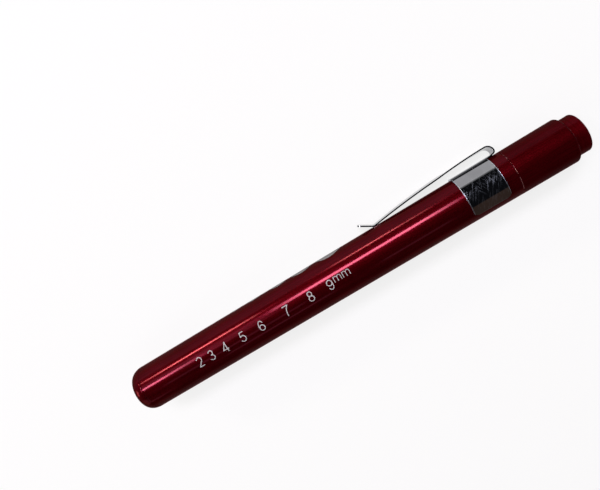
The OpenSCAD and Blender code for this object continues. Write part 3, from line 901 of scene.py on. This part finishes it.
def bump(height, depth):
    """A bump of the given depth in metres."""
    return height.node("ShaderNodeBump", None, {"Height": height, "Distance": depth, "Strength": 1.0})


def finish(name, make):
    """A material from a function that wires its shader."""
    material = bpy.data.materials.new(name)
    material.use_nodes = True
    material.node_tree.nodes.clear()
    wire = Wire(material.node_tree)
    wire.node("ShaderNodeOutputMaterial", None, {"Surface": make(wire)})
    return material


print("patterns ready")

# %% [markdown]
# ## Red anodising
# The tube is aluminium, brushed lengthwise, dyed deep red and sealed. Such a skin mirrors lamps and also
# has a soft glow, so two shaders are mixed: dyed metal with a polish under a thin clear coat, and a satin
# one that spreads the light. The tool marks are noise drawn out along the barrel and the cap, and round
# the button, which was turned. They vary the roughness and the depth of the dye, and tilt the surface by
# a hair. Paler metal is painted along the turned edges in places. Part of it is where handling has rubbed
# the dye off, and part of it is a painted highlight for the light line that the seam and the cap's end catch.

# %% Red anodised finishes
DYE_DARK = Vector((0.028, 0.0018, 0.0044))
DYE_LIGHT = Vector((0.048, 0.0036, 0.0086))
SATIN_DARK = Vector((0.064, 0.0004, 0.0018))
SATIN_LIGHT = Vector((0.100, 0.0009, 0.0036))
# Paler metal for the edges: bare metal where dye is rubbed off, and painted highlight where the edges catch light.
WORN_HIGHLIGHT_METAL = (0.30, 0.14, 0.14)
EDGE_TINT = (0.4, 0.2, 0.2, 1)
WORN_HIGHLIGHT_OUTER = 0.09 * MM
WORN_HIGHLIGHT_INNER = 0.05 * MM
# The cap's end gets a painted highlight line, this far inside its end, on the rounding.
CAP_END_HIGHLIGHT = 0.1


def worn_highlight_edge(wire, z):
    """A mask of the turned edge at a distance from the nose: dye rubbed away in places, and a painted highlight.
    """
    away = abs(place_along(wire) - (NOSE_X - z * MM))
    return contrast(away, WORN_HIGHLIGHT_OUTER, WORN_HIGHLIGHT_INNER) * contrast(noise(wire, 700), 0.42, 0.60)


def red_anodised(wire, marks, mark_depth, edges, shade, satin_share):
    """Dyed metal, partly polished and partly satin, with tool marks of the given scale along each axis."""
    grain = noise(wire, marks, 4.0)
    cloud = noise(wire, 140)
    speck = noise(wire, 2600, 1.0)
    dye = contrast(0.75 * grain + 0.25 * cloud, 0.36, 0.64)
    rubbed_and_highlit = sum(worn_highlight_edge(wire, z) for z in edges)
    tilt = bump(grain + 0.6 * speck, mark_depth)

    # shade scales the whole dye darker. On the cap and the button this is painted shade, for the dimmer light
    # there.
    def dyed(dark, light):
        """The dye between its dark and its light shade, with paler metal at the edges, worn and painted highlight.
        """
        return blend_colour(rubbed_and_highlit, blend_colour(dye, dark * shade, light * shade), WORN_HIGHLIGHT_METAL)

    polished = wire.node("ShaderNodeBsdfPrincipled", None, {
        "Base Color": dyed(DYE_DARK, DYE_LIGHT),
        "Metallic": 1.0,
        "Roughness": 0.06 + 0.09 * grain + 0.05 * speck,
        "Specular Tint": EDGE_TINT,
        "Coat Weight": 0.10,
        "Coat Roughness": 0.06,
        "Normal": tilt,
    })
    satin = wire.node("ShaderNodeBsdfPrincipled", None, {
        "Base Color": dyed(SATIN_DARK, SATIN_LIGHT),
        "Metallic": 0.6,
        "Roughness": 0.40 + 0.10 * grain,
        "Specular IOR Level": 0.0,
        "Specular Tint": EDGE_TINT,
        "Normal": tilt,
    })
    share = satin_share - 0.2 + 0.4 * speck
    return wire.node("ShaderNodeMixShader", None, {0: share, 1: polished, 2: satin})


barrel_red = finish("barrel_red", lambda wire: red_anodised(
    wire, marks=(70, 6000, 6000), mark_depth=0.7e-6, edges=[SEAM_Z], shade=1.0, satin_share=0.35,
))
# The cap's mouth gets rubbed dye and painted highlight, and the line inside its end is painted highlight.
cap_edges = [MOUTH_Z, CAP_END_Z - CAP_END_HIGHLIGHT]
# The cap's shade of 0.66 and the button's 0.8 are painted shade on their dye.
cap_red = finish("cap_red", lambda wire: red_anodised(
    wire, marks=(90, 5000, 5000), mark_depth=0.7e-6, edges=cap_edges, shade=0.66, satin_share=0.55,
))
button_edges = [END_Z - BUTTON_BEVEL / 2]
button_red = finish("button_red", lambda wire: red_anodised(
    wire, marks=(3600, 90, 90), mark_depth=2.4e-6, edges=button_edges, shade=0.8, satin_share=0.6,
))
print("red finishes:", barrel_red.name, cap_red.name, button_red.name)

# %% [markdown]
# ## Polished steel
# The clip is bright spring steel that mirrors the room. Use leaves fine hairlines that slant across it in
# two directions, and the band's long edges are burnished. So a rougher, lighter steel is mixed into the
# polished one where two stretched noises have their crests, and along those edges.

# %% Clip steel
BURNISH_OUTER = 0.20 * MM
BURNISH_INNER = 0.14 * MM
BAND_TOP_R = 7.2 * MM
ABOVE_BAND_R = 7.4 * MM
HAIR_SHARE = 0.055
BURNISH_SHARE = 0.55


def burnished(wire):
    """A mask of the band's two long edges, which were rubbed smooth and don't mirror sharply."""
    away = abs(abs(place_along(wire) - band_x) - BAND_W / 2 * MM)
    place = wire.node("ShaderNodeTexCoord", output="Object")
    across = wire.node("ShaderNodeVectorMath", {"operation": "MULTIPLY"}, {0: place, 1: (0, 1, 1)})
    radius = wire.node("ShaderNodeVectorMath", {"operation": "LENGTH"}, {0: across}, output="Value")
    return contrast(away, BURNISH_OUTER, BURNISH_INNER) * contrast(radius, ABOVE_BAND_R, BAND_TOP_R)


def polished_steel(wire):
    """Mirror-bright steel with hairlines in two slanting directions."""
    worn = contrast(noise(wire, 130), 0.30, 0.55)
    first = contrast(noise(wire, (3200, 300, 300), 3.0, 0.5), 0.54, 0.62)
    second = contrast(noise(wire, (2800, 340, 340), 3.0, -0.4), 0.57, 0.65)
    hairs = worn * (first + 0.7 * second)
    polish = wire.node("ShaderNodeBsdfPrincipled", None, {
        "Base Color": blend_colour(worn, (0.235, 0.236, 0.246), (0.275, 0.276, 0.29)),
        "Metallic": 1.0,
        "Roughness": 0.02 + 0.015 * worn,
        "Normal": bump(worn, 0.15e-6),
    })
    scratched = wire.node("ShaderNodeBsdfPrincipled", None, {
        "Base Color": blend_colour(hairs, (0.37, 0.41, 0.48), (0.47, 0.52, 0.60)),
        "Metallic": 1.0,
        "Roughness": 0.37 + 0.1 * hairs,
    })
    share = HAIR_SHARE * hairs + BURNISH_SHARE * burnished(wire)
    return wire.node("ShaderNodeMixShader", None, {0: share, 1: polish, 2: scratched})


clip_steel = finish("clip_steel", polished_steel)
print("clip finish:", clip_steel.name)

# %% [markdown]
# ## Ink
# The gauge is screen printed in grey. The dots get a darker grey than the numbers, which is painted shade
# for the dimmer light on their side of the barrel. A coat of ink is matt and slightly uneven, with
# pinholes where the metal's grain shows through, so its colour varies between that of a thin and a full
# coat.

# %% Gauge ink


def printed_ink(wire, thin, full):
    """Grey ink, a little uneven between a thin and a full coat."""
    pores = contrast(noise(wire, 16000), 0.30, 0.48)
    film = noise(wire, 1200)
    return wire.node("ShaderNodeBsdfPrincipled", None, {
        "Base Color": blend_colour(pores, thin, full),
        "Roughness": 0.5 + 0.2 * film,
        "Specular IOR Level": 0.0,
        "Normal": bump(pores, 1.5e-6),
    })


number_ink = finish("number_ink", lambda wire: printed_ink(wire, (0.23, 0.222, 0.226), (0.325, 0.33, 0.336)))
# The dots' darker grey is painted shade, for the dimmer light on their side of the barrel.
dot_ink_painted_shade = finish("dot_ink_painted_shade", lambda wire: printed_ink(wire, (0.115, 0.112, 0.113), (0.155, 0.157, 0.16)))
print("inks:", number_ink.name, dot_ink_painted_shade.name)

# %% [markdown]
# ## Finishes of the inner pieces
# What the barrel holds is seen only through the lens or when it is taken apart, but each piece still has
# its own material. Metals, plastics and clear mouldings differ in only a few numbers, so one function
# makes each kind, from a dark and a light shade, a roughness and, for metals, the scale of the tool
# marks.

# %% Inner finishes


def metal(wire, dark, light, rough, marks):
    """A bare metal with fine tool marks."""
    grain = noise(wire, marks, 3.0)
    return wire.node("ShaderNodeBsdfPrincipled", None, {
        "Base Color": blend_colour(contrast(grain, 0.35, 0.65), dark, light),
        "Metallic": 1.0,
        "Roughness": rough + 0.18 * grain,
        "Normal": bump(grain, 0.8e-6),
    })


def plastic(wire, dark, light, rough):
    """A moulded plastic or rubber with a fine pebble."""
    pebble = noise(wire, 7000, 3.0)
    flow = noise(wire, 300)
    return wire.node("ShaderNodeBsdfPrincipled", None, {
        "Base Color": blend_colour(contrast(flow, 0.35, 0.65), dark, light),
        "Roughness": rough + 0.15 * pebble,
        "Normal": bump(pebble, 2e-6),
    })


def clear(wire, tint, rough):
    """A clear moulding, with faint flow lines."""
    flow = noise(wire, 500)
    return wire.node("ShaderNodeBsdfPrincipled", None, {
        "Base Color": blend_colour(flow, tint, (1, 1, 1)),
        "Roughness": rough + 0.02 * flow,
        "Transmission Weight": 1.0,
        "IOR": 1.49,
    })


ROUND_MARKS = (9000, 90, 90)
WIRE_MARKS = (900, 7000, 7000)
METALS = {
    "bright_reflector": ((0.82, 0.82, 0.83), (0.9, 0.9, 0.91), 0.03, ROUND_MARKS),
    "tinned_wire": ((0.6, 0.6, 0.6), (0.74, 0.74, 0.73), 0.25, WIRE_MARKS),
    "contact_brass": ((0.48, 0.3, 0.09), (0.6, 0.4, 0.14), 0.2, ROUND_MARKS),
    "spring_wire": ((0.45, 0.45, 0.46), (0.58, 0.58, 0.58), 0.16, 5000),
    "cell_steel": ((0.5, 0.5, 0.5), (0.63, 0.63, 0.62), 0.22, ROUND_MARKS),
    "plain_aluminium": ((0.62, 0.62, 0.63), (0.72, 0.72, 0.73), 0.25, ROUND_MARKS),
}
PLASTICS = {
    "white_plastic": ((0.7, 0.69, 0.65), (0.76, 0.75, 0.72), 0.38),
    "green_board": ((0.008, 0.075, 0.024), (0.014, 0.11, 0.04), 0.25),
    "black_plastic": ((0.010, 0.010, 0.011), (0.018, 0.018, 0.02), 0.4),
    "black_rubber": ((0.008, 0.008, 0.008), (0.014, 0.014, 0.014), 0.65),
    "cell_sleeve": ((0.011, 0.011, 0.013), (0.017, 0.017, 0.02), 0.22),
}
CLEARS = {
    "clear_lens": ((0.94, 0.97, 1.0), 0.02),
    "led_epoxy": ((0.98, 0.95, 0.8), 0.06),
}
FINISHES = {"red_anodised": barrel_red, "clip_steel": clip_steel}
for make, kinds in ((metal, METALS), (plastic, PLASTICS), (clear, CLEARS)):
    for name, values in kinds.items():
        FINISHES[name] = finish(name, lambda wire: make(wire, *values))
slot_of = {part["node"]: part["material_slot"] for part in frame["record"]["subparts"]}
for node, piece in frame["nodes"].items():
    piece.material_slots[0].material = FINISHES[slot_of[node]]
print("finishes:", len(FINISHES), "on", len(frame["nodes"]), "nodes")

# %% [markdown]
# ## Finishes and bodies of the new pieces
# Each new piece takes its finish, and all but the clip ride on the body that carries them, so that they
# move with the joints.

# %% Dress the new pieces


def dress(piece, material):
    """Gives a piece its finish."""
    piece.data.materials.clear()
    piece.data.materials.append(material)


dress(barrel, barrel_red)
dress(thread, barrel_red)
dress(cap, cap_red)
dress(button, button_red)
dress(clip, clip_steel)
dress(spring, FINISHES["spring_wire"])
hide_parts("barrel")
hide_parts("tail_cap")
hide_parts("tail_button")
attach(barrel, "barrel")
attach(thread, "barrel")
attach(cap, "tail_cap")
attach(button, "button")
for mark in dots + numbers:
    mark.data.materials.clear()
    mark.data.materials.append(dot_ink_painted_shade if mark in dots else number_ink)
    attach(mark, "barrel")
new_pieces = [barrel, thread, cap, button, clip, spring] + dots + numbers
print("new pieces:", len(new_pieces))

# %% [markdown]
# ## The floor
# The part lies on its clip and band on a plain white floor. To a viewer, and to whatever mirrors it, most
# of the floor's white is its own, so that it stays white far from the lamps. The rest is lit, and keeps
# the part's shadow.

# %% Floor
FLOOR_HALF = 6.0
FLOOR_GLOW = 0.8

start_piece()
bpy.ops.mesh.primitive_plane_add(size=2 * FLOOR_HALF, location=(0, 0, cad_box[0].z))
floor = bpy.context.active_object
floor.name = "floor"


def white_floor(wire):
    """A matt white floor that keeps its white where the lamps don't reach."""
    cloud = noise(wire, 6)
    matt = wire.node("ShaderNodeBsdfDiffuse", None, {
        "Color": blend_colour(cloud, (0.80, 0.80, 0.80), (0.83, 0.83, 0.83)),
    })
    glow = wire.node("ShaderNodeEmission", None, {"Color": (1, 1, 1, 1), "Strength": 1.0})
    kinds = ("Camera", "Glossy", "Transmission")
    ray = [wire.node("ShaderNodeLightPath", output=f"Is {kind} Ray") for kind in kinds]
    seen = FLOOR_GLOW * (ray[0] + ray[1] + ray[2])
    return wire.node("ShaderNodeMixShader", None, {0: seen, 1: matt, 2: glow})


floor.data.materials.append(finish("white_floor", white_floor))
floor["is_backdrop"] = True
print("floor at", round(cad_box[0].z / MM, 2), "mm")

# %% [markdown]
# ## The lamps
# Round polished metal shows a lamp as a line. So each lamp is a strip beside the barrel, placed where its
# mirror image falls on a chosen line of the barrel, as seen from the camera: the viewing ray is mirrored
# at both ends of that line, and the strip hangs between the two mirrored rays. A line that fades at its
# ends is made of a few strips, one behind the other and each a little shorter and narrower, which share
# its light.

# %% Lamp helpers
LAMP_R = 1400 * MM
FADE_LAYERS = 4
LAYER_GAP = 0.01
WIDEST = 1.3
NARROWING = 0.6


def mirrored(x, degrees, distance):
    """The place, at a distance from the axis, that the camera sees mirrored in a point of the barrel."""
    spot = around(x * MM, math.radians(degrees), BARREL_R * MM)
    out = around(0, math.radians(degrees), 1)
    view = (camera_place - spot).normalized()
    way = 2 * out * out.dot(view) - view
    return spot + way * distance / math.hypot(way.y, way.z)


def lamp(name, place, aim, along, size, radiance, colour):
    """A rectangular lamp with its length along a direction, turned towards an aim."""
    data = bpy.data.lights.new(name, "AREA")
    data.shape = "RECTANGLE"
    data.size, data.size_y = size
    data.energy = radiance * math.pi * data.size * data.size_y
    data.color = colour
    right = along.normalized()
    back = place - aim
    back = (back - right * back.dot(right)).normalized()
    turned = Matrix((right, back.cross(right), back)).transposed()
    made = bpy.data.objects.new(name, data)
    made.matrix_world = Matrix.Translation(place) @ turned.to_4x4()
    made.visible_camera = False
    bpy.context.scene.collection.objects.link(made)


def strip(name, degrees, start, end, fades, width, radiance, colour):
    """Lamps whose mirror image is a line at an angle on the barrel, from start to end, with fading ends."""
    layers = FADE_LAYERS if any(fades) else 1
    for layer in range(layers):
        share = layer / layers
        distance = LAMP_R * (1 + LAYER_GAP * layer)
        first = mirrored(start + fades[0] * share, degrees, distance)
        last = mirrored(end - fades[1] * share, degrees, distance)
        middle = (first + last) / 2
        half_angle = math.radians(width * (WIDEST - NARROWING * share))
        size = ((last - first).length, 2 * half_angle * distance)
        lamp(f"{name}_{layer}", middle, ALONG * middle.x, last - first, size, radiance / layers, colour)


print("lamps hang", LAMP_R, "m from the barrel")

# %% [markdown]
# The strongest strip makes the bright line beside the numbers, and a thin line in a wide, dim glow
# carries it on to the nose. Two thin warm strips make the salmon line above it, and three faint ones the
# streaks below. A box before the nose lights its rim, and two boxes beyond the ends light the floor. Each
# strip has its angle in degrees from the line that faces the camera, its start and end along the barrel
# and the lengths of its fades in millimetres, the width of its line in degrees, its radiance and its
# colour.

# %% Lamps
COOL = (0.95, 0.90, 1.0)
WARM = (1.0, 0.86, 0.64)
NEUTRAL = (1.0, 0.99, 0.97)
ACROSS = Vector((0, 1, 0))
RIM_BOX_PLACE = Vector((1.4, -0.3, 0.45))
RIM_BOX_SIZE = (0.5, 0.35)
END_BOX_X = 1.5
END_BOX_Y = 1.0
END_BOX_Z = 1.1
END_BOX_SIZE = (1.1, 1.1)

strip("bright_strip", 8.2, -34.5, 23, (12, 15), 4.4, 48, COOL)
strip("nose_line", 2.5, 48, 74, (20, 0), 3.6, 44, COOL)
strip("nose_glow", 5.0, 20, 74, (14, 0), 12.0, 1.5, COOL)
strip("warm_nose_strip", 18.8, 27, 67, (16, 16), 2.2, 62, WARM)
strip("warm_tail_strip", 26.9, -27, 3, (18, 9), 1.8, 38, WARM)
strip("faint_strip_1", -15.5, 14, 60, (0, 0), 3.0, 1.0, COOL)
strip("faint_strip_2", -30.0, 6, 40, (0, 0), 3.0, 1.0, COOL)
strip("faint_strip_3", -25.0, -30, -10, (0, 0), 3.0, 1.0, COOL)
lamp("rim_box", RIM_BOX_PLACE, Vector((NOSE_X, 0, 0)), ACROSS, RIM_BOX_SIZE, 9, WARM)
for end in (-1, 1):
    end_box_place = Vector((END_BOX_X * end, END_BOX_Y, END_BOX_Z))
    lamp(f"end_box_{end + 1}", end_box_place, Vector(), ACROSS, END_BOX_SIZE, 1.1, NEUTRAL)

# %% [markdown]
# ## The room
# Polished metal shows what is around it, so the room is part of the finish. It is nearly black overhead,
# which keeps the metal's dark bands, and brown on the side away from the clip, with a clear edge between
# the two. The walls are pale along the horizon, beyond the two ends, and low down except on the clip's
# side, which the barrel mirrors.

# %% Room
OVERHEAD = (0.010, 0.0105, 0.013)
BROWN = (0.085, 0.054, 0.042)
PALE = (0.65, 0.65, 0.65)

world = bpy.data.worlds.new("room")
world.use_nodes = True
world.node_tree.nodes.clear()
room = Wire(world.node_tree)
way = room.node("ShaderNodeTexCoord", output="Generated")
noseward, from_clip, upward = (
    room.node("ShaderNodeSeparateXYZ", None, {"Vector": way}, output=axis) for axis in "XYZ"
)
tint = blend_colour(contrast(from_clip, 0.27, 0.31), OVERHEAD, BROWN)
endward = noseward * noseward
low = contrast(upward, 0.42, 0.17)
pale = [
    contrast(upward, 0.14, 0.0),
    low * contrast(from_clip, -0.3, 0.1),
    low * contrast(endward, 0.24, 0.45),
    0.6 * contrast(endward, 0.4, 0.8),
]
palest = pale[0]
for mask in pale[1:]:
    palest = room.calculate("MAXIMUM", palest, mask)
shade = blend_colour(palest, tint, PALE)
glow = room.node("ShaderNodeBackground", None, {"Color": shade, "Strength": 1.0})
room.node("ShaderNodeOutputWorld", None, {"Surface": glow})
bpy.context.scene.world = world
print("room:", world.name)

# %% [markdown]
# ## Size and finish
# The box of the dressed part is printed beside the box of the frame's solids.

# %% Print the boxes
visual_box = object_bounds()
boxes = {
    "cad": [list(corner) for corner in cad_box],
    "visual": [list(corner) for corner in visual_box],
}
for name, (low, high) in boxes.items():
    print(name, [round((b - a) / MM, 2) for a, b in zip(low, high)], "mm")
